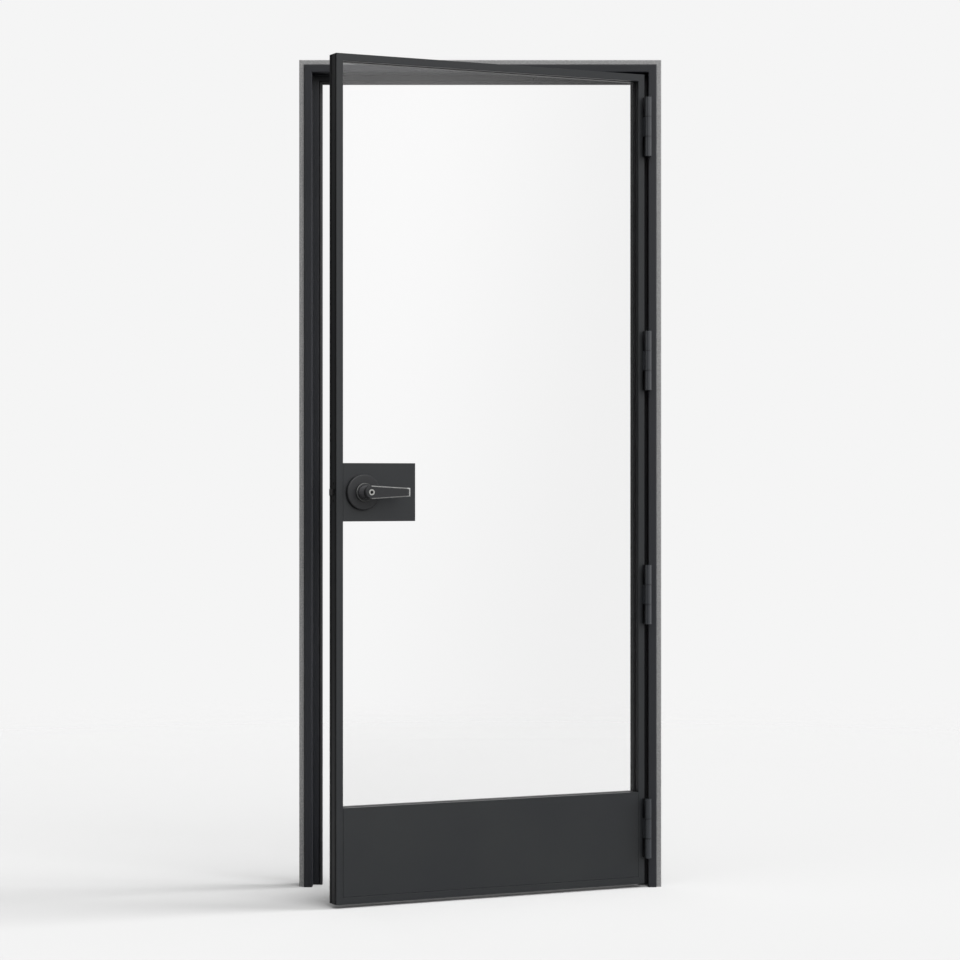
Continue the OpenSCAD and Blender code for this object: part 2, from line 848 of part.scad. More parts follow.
module top_rail() {
    color(leaf_paint) on_leaf() difference() {
        top_bar(leaf_w, leaf_top, sight_w) leaf_section();
        top_bead_screw_spots() bead_screw_hole();
    }
}

module bottom_rail() {
    color(leaf_paint) on_leaf() bottom_bar(leaf_w, floor_gap, sight_w) leaf_section();
}

// The strips are notched where the latch case passes between them
module lock_edge_seals() {
    color(rubber) on_leaf() difference() {
        translate([0, 0, floor_gap + groove_depth])
            linear_extrude(leaf_h - 2 * groove_depth)
                groove_section(groove_seal_recess, groove_depth - groove_seal_recess);
        at_latch() along_x(0, sight_w, 0, 0, latch_case_d + 2 * pocket_fit);
    }
}

// Kick panel

module kick_core() {
    bottom = floor_gap + web_w;
    color("#8f8a80") on_leaf() translate([web_w, lip_d, bottom])
        cube([leaf_w - 2 * web_w, glass_slot, glass_bottom - block_h - bottom]);
}

module kick_panel_front() {
    side = sight_w + pan_seam;
    bottom = floor_gap + side;
    color(leaf_paint) on_leaf() translate([side, 0, bottom])
        folded_pan(leaf_w - 2 * side, lip_d, kick_top - bottom, true);
}

module kick_panel_back() {
    side = web_w + pan_seam;
    bottom = floor_gap + side;
    color(leaf_paint) on_leaf() translate([side, leaf_t, bottom]) mirror([0, 1, 0])
        folded_pan(leaf_w - 2 * side, bead_d, kick_top - bottom, true);
}

module setting_blocks() {
    color(rubber) on_leaf() for (side = [-1, 1])
        translate([leaf_w / 2 + side * block_pitch / 2 - block_w / 2, lip_d + gasket_t, glass_bottom - block_h])
            cube([block_w, glass_t, block_h]);
}

// Glazing

module glass() {
    color("#dfeaea", 0.3) on_leaf() upright_sheet(lip_d + gasket_t, glass_t) glass_outline(glass_bite, notch_r);
}

module front_gasket() {
    gasket(lip_d);
}

module back_gasket() {
    gasket(lip_d + gasket_t + glass_t);
}

module hinge_side_bead() {
    color(leaf_paint) on_leaf() on_right(leaf_w) difference() {
        left_bar(kick_top, leaf_top, sight_w, 0) bead_section();
        side_bead_screw_spots(kick_top, bead_top) bead_screw_hole();
    }
}

module top_bead() {
    color(leaf_paint) on_leaf() difference() {
        top_bar(leaf_w, leaf_top, sight_w) bead_section();
        top_bead_screw_spots() bead_screw_hole();
    }
}

module lock_side_upper_bead() {
    color(leaf_paint) on_leaf() difference() {
        left_bar(box_top, leaf_top, sight_w, 0) bead_section();
        lock_bead_screw_spots() bead_screw_hole();
    }
}

module lock_side_lower_bead() {
    color(leaf_paint) on_leaf() difference() {
        translate([0, 0, kick_top]) linear_extrude(box_bottom - kick_top) bead_section();
        lock_bead_screw_spots() bead_screw_hole();
    }
}

module bead_screws() {
    color(steel) on_leaf() {
        lock_bead_screw_spots() socket_screw(bead_screw_l);
        top_bead_screw_spots() socket_screw(bead_screw_l);
        on_right(leaf_w) side_bead_screw_spots(kick_top, bead_top) socket_screw(bead_screw_l);
    }
}

// Lock box

// Puts what is drawn from the lock edge at the latch's middle
module at_latch() {
    translate([0, latch_y, spindle_z]) children();
}

module faceplate_screw_spots() {
    for (side = [-1, 1]) translate([0, 0, side * faceplate_screw_pitch / 2]) rotate([0, 90, 0]) children();
}

module chassis_hole() {
    translate([backset, -past, spindle_z]) rotate([-90, 0, 0]) cylinder(d = box_hole_d, h = leaf_t + 2 * past);
}

module lock_box_front() {
    color(leaf_paint) on_leaf() difference() {
        translate([sight_w, 0, box_bottom]) folded_pan(lock_box_w, lip_d, lock_box_h, false);
        chassis_hole();
    }
}

module lock_box_back() {
    color(leaf_paint) on_leaf() difference() {
        translate([web_w, leaf_t, box_bottom]) mirror([0, 1, 0])
            folded_pan(box_right - web_w, bead_d, lock_box_h, false);
        chassis_hole();
    }
}

module lock_chassis() {
    color(steel) on_outside() difference() {
        union() {
            translate([0, 0, -leaf_t]) cylinder(d = chassis_d, h = leaf_t);
            translate([0, 0, -leaf_t - chassis_hub_h]) cylinder(d = chassis_hub_d, h = leaf_t + 2 * chassis_hub_h);
        }
        translate([0, 0, -leaf_t - chassis_hub_h - past])
            cylinder(d = spindle_d + 2 * running_fit, h = leaf_t + 2 * chassis_hub_h + 2 * past);
    }
}

module latch_case() {
    color(steel) on_leaf() at_latch() difference() {
        along_x(faceplate_t, latch_case_l, 0, 0, latch_case_d);
        translate([0, -bolt_t / 2 - pocket_fit, -bolt_h / 2 - pocket_fit])
            cube([faceplate_t + latch_case_l + past, bolt_t + 2 * pocket_fit, bolt_h + 2 * pocket_fit]);
    }
}

module latch_faceplate() {
    color(trim_paint) on_leaf() at_latch() difference() {
        translate([0, -faceplate_w / 2, -faceplate_h / 2]) cube([faceplate_t, faceplate_w, faceplate_h]);
        translate([-past, -bolt_t / 2 - pocket_fit, -bolt_h / 2 - pocket_fit])
            cube([faceplate_t + 2 * past, bolt_t + 2 * pocket_fit, bolt_h + 2 * pocket_fit]);
        faceplate_screw_spots() screw(lock_screw_l, pocket_fit / 2);
    }
}

module faceplate_screws() {
    color(steel) on_leaf() at_latch() faceplate_screw_spots() socket_screw(lock_screw_l);
}

// The nose is bevelled on the side that meets the strike as the leaf shuts
module latch_bolt() {
    half = bolt_t / 2;
    nose = bolt_t / 5;
    color(steel) on_leaf() at_latch() translate([0, 0, -bolt_h / 2]) linear_extrude(bolt_h)
        polygon([[-latch_throw, -half], [-latch_throw, nose - half], [-nose, half], [bolt_l, half], [bolt_l, -half]]);
}

// Lever trim

module rose_outside() {
    on_outside() rose();
}

module rose_inside() {
    on_inside() rose();
}

module lever_outside() {
    color(trim_paint) on_outside() difference() {
        lever();
        translate([0, 0, cylinder_start]) cylinder(d = cylinder_d + 2 * running_fit, h = lever_reach);
    }
}

module spindle_outside() {
    on_outside() spindle();
}

module key_cylinder() {
    color(steel) on_outside() translate([0, 0, cylinder_start]) difference() {
        cylinder(d = cylinder_d, h = lever_reach + cylinder_proud - cylinder_start);
        translate([0, 0, pan_t]) cylinder(d = plug_d + 2 * running_fit, h = lever_reach);
    }
}

module key_plug() {
    plug_start = cylinder_start + pan_t + running_fit;
    plug_end = lever_reach + cylinder_proud - plug_recess;
    color("#5c5b58") on_outside() difference() {
        translate([0, 0, plug_start]) cylinder(d = plug_d, h = plug_end - plug_start);
        translate([-keyway_w / 2, -keyway_h / 2, plug_start + past]) cube([keyway_w, keyway_h, lever_reach]);
    }
}

module lever_inside() {
    color(trim_paint) on_inside() lever();
}

module spindle_inside() {
    on_inside() spindle();
}

lock_jamb();
hinge_jamb();
head_jamb();
lock_subframe();
hinge_subframe();
head_subframe();
lock_jamb_seal();
hinge_jamb_seal();
head_seal();
strike_plate();
strike_box();
strike_screws();
hinge_1_frame_plate();
hinge_2_frame_plate();
hinge_3_frame_plate();
hinge_4_frame_plate();
hinge_1_pin();
hinge_2_pin();
hinge_3_pin();
hinge_4_pin();
hinge_washers();
hinge_frame_screws();
lock_stile();
hinge_stile();
top_rail();
bottom_rail();
lock_edge_seals();
hinge_1_leaf_plate();
hinge_2_leaf_plate();
hinge_3_leaf_plate();
hinge_4_leaf_plate();
hinge_leaf_screws();
kick_core();
kick_panel_front();
kick_panel_back();
setting_blocks();
glass();
front_gasket();
back_gasket();
hinge_side_bead();
top_bead();
lock_side_upper_bead();
lock_side_lower_bead();
bead_screws();
lock_box_front();
lock_box_back();
lock_chassis();
latch_case();
latch_faceplate();
faceplate_screws();
latch_bolt();
rose_outside();
rose_inside();
lever_outside();
spindle_outside();
key_cylinder();
key_plug();
lever_inside();
spindle_inside();
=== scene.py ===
import json
import math

import bmesh
import bpy
from mathutils import Matrix, Vector


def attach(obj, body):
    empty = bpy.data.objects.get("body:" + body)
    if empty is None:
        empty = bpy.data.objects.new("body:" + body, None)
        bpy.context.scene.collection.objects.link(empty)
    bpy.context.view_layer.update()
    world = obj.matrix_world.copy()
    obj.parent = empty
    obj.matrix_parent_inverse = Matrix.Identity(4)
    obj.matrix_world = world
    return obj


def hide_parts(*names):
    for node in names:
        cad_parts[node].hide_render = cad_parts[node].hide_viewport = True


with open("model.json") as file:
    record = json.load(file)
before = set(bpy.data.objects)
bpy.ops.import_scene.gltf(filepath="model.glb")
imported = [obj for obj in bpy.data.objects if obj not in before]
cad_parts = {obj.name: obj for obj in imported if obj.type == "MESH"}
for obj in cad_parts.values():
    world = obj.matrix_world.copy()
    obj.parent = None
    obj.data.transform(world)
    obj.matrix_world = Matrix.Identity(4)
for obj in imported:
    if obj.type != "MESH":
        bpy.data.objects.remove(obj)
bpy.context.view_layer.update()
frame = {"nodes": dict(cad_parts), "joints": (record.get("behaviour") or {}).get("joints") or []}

nodes = frame["nodes"]
bpy.ops.object.select_all(action="DESELECT")

# Camera: a long lens square on the frame and level with the lock, so that the uprights
# stay upright and only the open leaf shows perspective.
camera_distance = 7.211
camera_height = 1.0557
sensor_width_mm = 36
lens_mm = 104.325
sideways_shift = -0.00026

bpy.ops.object.camera_add(location=(0, -camera_distance, camera_height), rotation=(math.pi / 2, 0, 0))
camera = bpy.context.object
camera.data.sensor_width = sensor_width_mm
camera.data.lens = lens_mm
camera.data.shift_x = sideways_shift
bpy.context.scene.camera = camera
bpy.context.scene.view_settings.view_transform = "Standard"

# Galvanised channel: rolled steel strip, dipped in zinc and folded to a channel that is
# fixed in the wall opening first. The frame is pushed into it, so only its edge shows.
MM = 0.001
weld_gap = 0.01 * MM
flat_angle = math.radians(0.5)
sharp_angle = math.radians(35)


def linear(hex_colour):
    """Linear colour of an sRGB hex value."""
    parts = [int(hex_colour[i:i + 2], 16) / 255 for i in (1, 3, 5)]
    return (*[p / 12.92 if p <= 0.04045 else ((p + 0.055) / 1.055) ** 2.4 for p in parts], 1)


def add_node(tree, kind, inputs=None, **settings):
    """Adds a node, with its settings, and its inputs as values or links."""
    made = tree.nodes.new("ShaderNode" + kind)
    for name, value in settings.items():
        setattr(made, name, value)
    for name, value in (inputs or {}).items():
        if isinstance(value, bpy.types.NodeSocket):
            tree.links.new(value, made.inputs[name])
        else:
            made.inputs[name].default_value = value
    return made


def start_material(name):
    """An empty material, with its tree and the object's own coordinates."""
    material = bpy.data.materials.new(name)
    material.use_nodes = True
    tree = material.node_tree
    tree.nodes.clear()
    return material, tree, add_node(tree, "TexCoord").outputs["Object"]


def show(tree, shader):
    """Connects a shader to the material's output."""
    add_node(tree, "OutputMaterial", {"Surface": shader})


def dress(names, material, edge=None):
    """Gives CAD nodes their finish and breaks their sharp edges by a width, or keeps them crisp."""
    for name in names:
        node = nodes[name]
        node.material_slots[0].material = material
        weld = node.modifiers.new("weld", "WELD")
        weld.merge_threshold = weld_gap
        if edge is None:
            crisp = node.modifiers.new("crisp", "EDGE_SPLIT")
            crisp.split_angle = sharp_angle
            continue
        flat = node.modifiers.new("flat", "DECIMATE")
        flat.decimate_type = "DISSOLVE"
        flat.angle_limit = flat_angle
        bevel = node.modifiers.new("edge", "BEVEL")
        bevel.width = edge
        bevel.segments = 2
        bevel.limit_method = "ANGLE"
        bevel.angle_limit = sharp_angle
        bevel.harden_normals = True


# Hot-dip galvanised steel: zinc crystals give flakes of slightly different grey, and the
# weathered film over them is dull and finely speckled.
def galvanised_steel():
    flake_size = 4 * MM
    speck_size = 2.4 * MM
    cloud_size = 90 * MM
    material, tree, place = start_material("galvanised steel")
    flake = add_node(tree, "TexVoronoi", {"Vector": place, "Scale": 1 / flake_size})
    speck = add_node(tree, "TexNoise", {"Vector": place, "Scale": 1 / speck_size, "Detail": 3})
    cloud = add_node(tree, "TexNoise", {"Vector": place, "Scale": 1 / cloud_size, "Detail": 2})
    blend = add_node(tree, "Mix", {
        "Factor": 0.5, "A": flake.outputs["Distance"], "B": speck.outputs["Fac"]})
    tint = add_node(tree, "ValToRGB", {"Fac": blend.outputs["Result"]})
    tint.color_ramp.elements[0].position = 0.3
    tint.color_ramp.elements[0].color = linear("#8e8e8e")
    tint.color_ramp.elements[1].position = 0.7
    tint.color_ramp.elements[1].color = linear("#a4a4a4")
    rough = add_node(tree, "MapRange", {"Value": cloud.outputs["Fac"], "To Min": 0.45, "To Max": 0.65})
    bump = add_node(tree, "Bump", {
        "Height": speck.outputs["Fac"], "Strength": 0.2, "Distance": 0.1 * MM})
    metal = add_node(tree, "BsdfPrincipled", {
        "Base Color": tint.outputs["Color"], "Metallic": 0.9, "Roughness": rough.outputs["Result"],
        "Normal": bump.outputs["Normal"]})
    show(tree, metal.outputs["BSDF"])
    return material


zinc = galvanised_steel()
dress(["lock_subframe", "hinge_subframe", "head_subframe"], zinc, edge=0.3 * MM)


# Frame: two jambs and a head, each folded from one steel sheet, mitred, welded at the top
# corners, ground flush and powder coated. The jambs stand on the floor without a threshold.

# Polyester powder coat: sprayed as dust and baked, so it flows to a fine orange peel. The
# peel is drawn a few times coarser than the real 0.5 mm, or it would not show.
def powder_coat(name, colour, lighter, roughness):
    peel_size = 2 * MM
    cloud_size = 160 * MM
    material, tree, place = start_material(name)
    peel = add_node(tree, "TexNoise", {"Vector": place, "Scale": 1 / peel_size, "Detail": 2})
    cloud = add_node(tree, "TexNoise", {"Vector": place, "Scale": 1 / cloud_size, "Detail": 3})
    mottle = add_node(tree, "Mix", {
        "Factor": 0.5, "A": peel.outputs["Fac"], "B": cloud.outputs["Fac"]})
    tint = add_node(tree, "ValToRGB", {"Fac": mottle.outputs["Result"]})
    tint.color_ramp.elements[0].position = 0.35
    tint.color_ramp.elements[0].color = linear(colour)
    tint.color_ramp.elements[1].position = 0.65
    tint.color_ramp.elements[1].color = linear(lighter)
    rough = add_node(tree, "MapRange", {
        "Value": cloud.outputs["Fac"], "To Min": roughness - 0.05, "To Max": roughness + 0.05})
    bump = add_node(tree, "Bump", {
        "Height": peel.outputs["Fac"], "Strength": 0.15, "Distance": 0.1 * MM})
    paint = add_node(tree, "BsdfPrincipled", {
        "Base Color": tint.outputs["Color"], "Roughness": rough.outputs["Result"],
        "Normal": bump.outputs["Normal"]})
    show(tree, paint.outputs["BSDF"])
    return material


frame_paint = powder_coat("charcoal powder coat on the frame", "#0d0f14", "#111318", 0.45)
dress(["lock_jamb", "hinge_jamb", "head_jamb"], frame_paint, edge=0.3 * MM)


# Stop seal: an extruded rubber strip with a round bulb, glued along the stop, which the
# shut leaf comes close to. It is cut to a mitre in the corners.

# Black EPDM rubber: extruded and cured, with a fine grain and a dull, uneven bloom.
def black_rubber(name, colour, lighter):
    bloom_size = 25 * MM
    grain_size = 1.5 * MM
    material, tree, place = start_material(name)
    bloom = add_node(tree, "TexNoise", {"Vector": place, "Scale": 1 / bloom_size, "Detail": 4})
    grain = add_node(tree, "TexNoise", {"Vector": place, "Scale": 1 / grain_size, "Detail": 2})
    tint = add_node(tree, "ValToRGB", {"Fac": bloom.outputs["Fac"]})
    tint.color_ramp.elements[0].color = linear(colour)
    tint.color_ramp.elements[1].color = linear(lighter)
    bump = add_node(tree, "Bump", {
        "Height": grain.outputs["Fac"], "Strength": 0.2, "Distance": 0.1 * MM})
    rubber = add_node(tree, "BsdfPrincipled", {
        "Base Color": tint.outputs["Color"], "Roughness": 0.6, "Specular IOR Level": 0.4,
        "Normal": bump.outputs["Normal"]})
    show(tree, rubber.outputs["BSDF"])
    return material


rubber = black_rubber("black EPDM rubber", "#1f1f20", "#2b2b2c")
dress(["lock_jamb_seal", "hinge_jamb_seal", "head_seal"], rubber, edge=0.4 * MM)

# Strike: a flush steel plate screwed into the lock jamb and coated like the other fittings, and
# a galvanised box behind its window that keeps dust out of the latch's way.
hardware_paint = powder_coat("satin charcoal coat on the fittings", "#101113", "#141517", 0.42)


# Satin metal: ground with a fine belt, so the light smears across short upright scratches. The
# colours tell stainless steel from blackened steel and from zinc.
def satin_metal(name, colour, lighter, roughness):
    scratch_width = 0.6 * MM
    scratch_length = 10 * MM
    material, tree, place = start_material(name)
    stretch = add_node(tree, "Mapping", {
        "Vector": place, "Scale": (1, 1, scratch_width / scratch_length)})
    scratch = add_node(tree, "TexNoise", {
        "Vector": stretch.outputs["Vector"], "Scale": 1 / scratch_width, "Detail": 3})
    tint = add_node(tree, "ValToRGB", {"Fac": scratch.outputs["Fac"]})
    tint.color_ramp.elements[0].position = 0.3
    tint.color_ramp.elements[0].color = linear(colour)
    tint.color_ramp.elements[1].position = 0.7
    tint.color_ramp.elements[1].color = linear(lighter)
    rough = add_node(tree, "MapRange", {
        "Value": scratch.outputs["Fac"], "To Min": roughness - 0.06, "To Max": roughness + 0.06})
    metal = add_node(tree, "BsdfPrincipled", {
        "Base Color": tint.outputs["Color"], "Metallic": 1.0, "Roughness": rough.outputs["Result"]})
    show(tree, metal.outputs["BSDF"])
    return material


steel = satin_metal("satin stainless steel", "#a4a5a3", "#c2c2be", 0.32)
dark_steel = satin_metal("blackened steel", "#2a2a2b", "#3a3a3a", 0.4)
dress(["strike_plate"], hardware_paint, edge=0.3 * MM)
dress(["strike_box"], zinc, edge=0.2 * MM)
dress(["strike_screws"], dark_steel, edge=0.1 * MM)

# Hinges: four coated steel barrel hinges, let into jamb and leaf edge and screwed on. The frame
# plate carries the upper and lower knuckle and the leaf plate the middle one, on a dark steel
# pin with a washer at each gap.
hinges = range(1, 5)
black_oxide = satin_metal("black oxide on the washers", "#0c0c0c", "#141414", 0.5)
hinge_paint = powder_coat("semi-gloss charcoal coat on the hinges", "#25272a", "#292b2e", 0.2)
dress([f"hinge_{i}_frame_plate" for i in hinges], hinge_paint)
dress([f"hinge_{i}_leaf_plate" for i in hinges], hinge_paint)
dress([f"hinge_{i}_pin" for i in hinges], dark_steel, edge=0.5 * MM)
dress(["hinge_washers"], black_oxide, edge=0.1 * MM)
dress(["hinge_frame_screws", "hinge_leaf_screws"], dark_steel, edge=0.1 * MM)

# Leaf: solid steel bars with a rebate for the glass, mitred, welded and coated. The rails'
# edges are ground rounder than the stiles'. The lock stile has two grooves down its edge,
# each with a rubber strip.
# The rubber in the lock stile's grooves is a darker copy of the rubber: painted shade for the depth of
# the grooves.
groove_shade_rubber = black_rubber("black EPDM rubber darkened as painted groove shade", "#080808", "#101011")
leaf_paint = powder_coat("charcoal powder coat on the leaf", "#111316", "#161819", 0.45)
dress(["lock_stile", "hinge_stile"], leaf_paint, edge=0.3 * MM)
dress(["top_rail", "bottom_rail"], leaf_paint, edge=0.8 * MM)
dress(["lock_edge_seals"], groove_shade_rubber, edge=0.2 * MM)

# Kick panel: a folded sheet pan on each side of a mineral core board, set between the
# bars with a fine seam and coated with them.
dress(["kick_panel_front", "kick_panel_back"], leaf_paint, edge=0.6 * MM)


# Mineral board: pressed from rock fibre, coarse, and sealed with a dark brown primer.
def core_board():
    fibre_size = 4 * MM
    material, tree, place = start_material("sealed mineral board")
    fibre = add_node(tree, "TexNoise", {"Vector": place, "Scale": 1 / fibre_size, "Detail": 6})
    tint = add_node(tree, "ValToRGB", {"Fac": fibre.outputs["Fac"]})
    tint.color_ramp.elements[0].color = linear("#262422")
    tint.color_ramp.elements[1].color = linear("#34312e")
    board = add_node(tree, "BsdfPrincipled", {"Base Color": tint.outputs["Color"], "Roughness": 0.9})
    show(tree, board.outputs["BSDF"])
    return material


dress(["kick_core"], core_board(), edge=0.5 * MM)


# Glazing: one pane of toughened glass on two blocks, notched round the lock box, between
# rubber gaskets, with screwed-on beads behind it.

# Clear float glass: nearly colourless, with a mirror-like skin and the least film of dust. The
# light runs straight through, so the far face mirrors as much as the near one, at any slant.
def clear_glass():
    glass_ior = 1.5
    film_size = 260 * MM
    material, tree, place = start_material("clear float glass")
    film = add_node(tree, "TexNoise", {"Vector": place, "Scale": 1 / film_size, "Detail": 4})
    rough = add_node(tree, "MapRange", {"Value": film.outputs["Fac"], "To Min": 0.0, "To Max": 0.03})
    clear = add_node(tree, "BsdfTransparent", {"Color": linear("#ffffff")})
    mirror = add_node(tree, "BsdfGlossy", {
        "Color": linear("#ffffff"), "Roughness": rough.outputs["Result"]})
    front = add_node(tree, "Fresnel", {"IOR": glass_ior})
    back = add_node(tree, "Fresnel", {"IOR": 1 / glass_ior})
    face = add_node(tree, "NewGeometry")
    skin = add_node(tree, "Mix", {
        "Factor": face.outputs["Backfacing"], "A": front.outputs["Fac"], "B": back.outputs["Fac"]})
    pane = add_node(tree, "MixShader", {
        0: skin.outputs["Result"], 1: clear.outputs["BSDF"], 2: mirror.outputs["BSDF"]})
    show(tree, pane.outputs["Shader"])
    return material


dress(["glass"], clear_glass(), edge=0.8 * MM)
dress(["setting_blocks", "front_gasket", "back_gasket"], rubber, edge=0.2 * MM)
beads = ["hinge_side_bead", "top_bead", "lock_side_upper_bead", "lock_side_lower_bead"]
dress(beads, leaf_paint, edge=0.3 * MM)
dress(["bead_screws"], dark_steel, edge=0.1 * MM)

# Lock box: two folded pans welded to the lock stile. They hold a cylindrical lock: its
# chassis through the box, its latch in a case behind the faceplate in the leaf's edge.
dress(["lock_box_front", "lock_box_back"], leaf_paint, edge=0.6 * MM)
dress(["lock_chassis", "latch_case", "spindle_outside", "spindle_inside"], steel, edge=0.3 * MM)
dress(["latch_faceplate"], hardware_paint, edge=0.3 * MM)
dress(["faceplate_screws"], dark_steel, edge=0.1 * MM)
dress(["latch_bolt"], dark_steel, edge=0.4 * MM)

# Roses: turned zinc discs with a rounded rim, coated satin charcoal. Each sits on the lock
# box and has a collar that the lever's neck turns in, with a painted highlight along its edge.
leaf_t = 44.45 * MM
rose_r = 44.5 * MM
rose_t = 10 * MM
rose_round = 3.5 * MM
collar_r = 22.5 * MM
collar_h = 16 * MM
collar_round = 1 * MM
collar_bore_r = 16.9 * MM
tiny = 0.01 * MM
curve_angle = math.radians(15)
coat_slot = 0
# The second slot holds a painted highlight colour for edges that catch the light.
highlight_slot = 1

# Painted highlight: a lighter metal colour on the collar's edge, in place of the light it catches.
collar_highlight_metal = satin_metal("painted highlight on the collar edge", "#6c6d6c", "#7c7d7a", 0.3)


def pick(piece, kind, test):
    """Selects the vertices, edges or faces of a mesh in edit mode that pass a test."""
    bpy.ops.mesh.select_mode(type=kind)
    bpy.ops.mesh.select_all(action="DESELECT")
    mesh = bmesh.from_edit_mesh(piece.data)
    for item in {"VERT": mesh.verts, "EDGE": mesh.edges, "FACE": mesh.faces}[kind]:
        item.select_set(test(item))
    bmesh.update_edit_mesh(piece.data)


def level_with(height):
    """A test for edges and faces that lie flat at a height."""
    return lambda item: all(abs(vertex.co.z - height) < tiny for vertex in item.verts)


def pull(x, y, z):
    """Extrudes what is selected."""
    bpy.ops.mesh.extrude_region_move(TRANSFORM_OT_translate={"value": (x, y, z)})


def start_piece(name, radius, height):
    """Starts a piece from a circle about the spindle's axis, in edit mode."""
    bpy.ops.object.select_all(action="DESELECT")
    bpy.ops.mesh.primitive_circle_add(vertices=96, radius=radius, location=(0, 0, height))
    piece = bpy.context.object
    piece.name = name
    bpy.ops.object.transform_apply()
    bpy.ops.object.mode_set(mode="EDIT")
    return piece


def face_outwards():
    """Turns the faces of the mesh in edit mode outwards, and leaves edit mode."""
    bpy.ops.mesh.select_all(action="SELECT")
    bpy.ops.mesh.normals_make_consistent(inside=False)
    bpy.ops.object.mode_set(mode="OBJECT")


def set_in_place(piece, place):
    """Turns a mesh's faces outwards, smooths its curves and moves it to its place on the leaf."""
    bpy.ops.object.mode_set(mode="EDIT")
    face_outwards()
    bpy.ops.object.shade_smooth_by_angle(angle=curve_angle)
    piece.matrix_world = place
    bpy.ops.object.transform_apply()


def turned_rose(name, place):
    """Models a rose about its axis and sets it in place on the leaf."""
    rose = start_piece(name, rose_r, 0)
    rose.data.materials.append(hardware_paint)
    rose.data.materials.append(collar_highlight_metal)
    bpy.ops.mesh.edge_face_add()
    pull(0, 0, rose_t)
    pick(rose, "EDGE", level_with(rose_t))
    bpy.ops.mesh.bevel(offset=rose_round, offset_type="OFFSET", segments=8, affect="EDGES")
    pick(rose, "FACE", level_with(rose_t))
    bpy.ops.mesh.inset(thickness=rose_r - rose_round - collar_r)
    pull(0, 0, collar_h - rose_t)
    pick(rose, "EDGE", level_with(collar_h))
    bpy.ops.mesh.bevel(
        offset=collar_round, offset_type="OFFSET", segments=3, affect="EDGES", material=highlight_slot)
    pick(rose, "FACE", level_with(collar_h))
    bpy.ops.mesh.inset(thickness=collar_r - collar_round - collar_bore_r)
    bpy.ops.mesh.delete(type="FACE")
    pick(rose, "FACE", level_with(0))
    bpy.ops.mesh.inset(thickness=rose_r - collar_bore_r)
    bpy.ops.mesh.delete(type="FACE")
    pick(rose, "EDGE", lambda edge: edge.is_boundary)
    bpy.ops.mesh.bridge_edge_loops()
    set_in_place(rose, place)
    return rose


lever_joint = next(joint for joint in frame["joints"] if joint["name"] == "lever_outside_turn")
spindle_place = Vector(lever_joint["pos_m"])
inward = Vector(lever_joint["axis"])
along = Vector((0, 0, 1)).cross(-inward)


def on_leaf(start, out):
    """Place on the leaf of a piece that points out and lies along the leaf."""
    return Matrix.Translation(start) @ Matrix((along, out.cross(along), out)).transposed().to_4x4()


sides = {
    "outside": on_leaf(spindle_place, -inward),
    "inside": on_leaf(spindle_place + leaf_t * inward, inward),
}
for side, place in sides.items():
    rose = turned_rose(f"rose_{side}_turned", place)
    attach(rose, "leaf")
    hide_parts(f"rose_{side}")

# Levers: cast zinc, each with a dull grey neck that turns in its rose's collar. A bright metal
# colour on the bevel of the hand piece is a painted highlight for the light its edges catch.
# The outside lever holds a satin steel key cylinder with a dark plug.
hub_r = 16.5 * MM
neck_r = 16.4 * MM
neck_start = 9.5 * MM
spindle_bore_r = 10.2 * MM
spindle_bore_end = 33 * MM
lever_reach = 58 * MM
lever_t = 14 * MM
lever_len = 104 * MM
lever_tip_h = 21 * MM
lever_bevel = 2.5 * MM
tip_slope_l = 8 * MM
tip_slope_h = 2.5 * MM
cylinder_bore_r = 7.7 * MM

# Painted highlight: a bright metal colour on the lever's bevel, in place of the light it catches.
lever_highlight_metal = satin_metal("painted highlight on the lever bevel", "#b8b9b8", "#d0d0ce", 0.3)
neck_paint = powder_coat("grey coat on the lever necks", "#464648", "#525254", 0.42)


def join(piece, tool, operation):
    """Unites a piece with a tool piece, or cuts it with one, and removes the tool."""
    bpy.ops.object.select_all(action="DESELECT")
    piece.select_set(True)
    bpy.context.view_layer.objects.active = piece
    bpy.ops.object.modifier_add(type="BOOLEAN")
    cut = piece.modifiers[-1]
    cut.object = tool
    cut.operation = operation
    cut.solver = "EXACT"
    cut.material_mode = "TRANSFER"
    bpy.ops.object.modifier_apply(modifier=cut.name)
    bpy.data.objects.remove(tool)


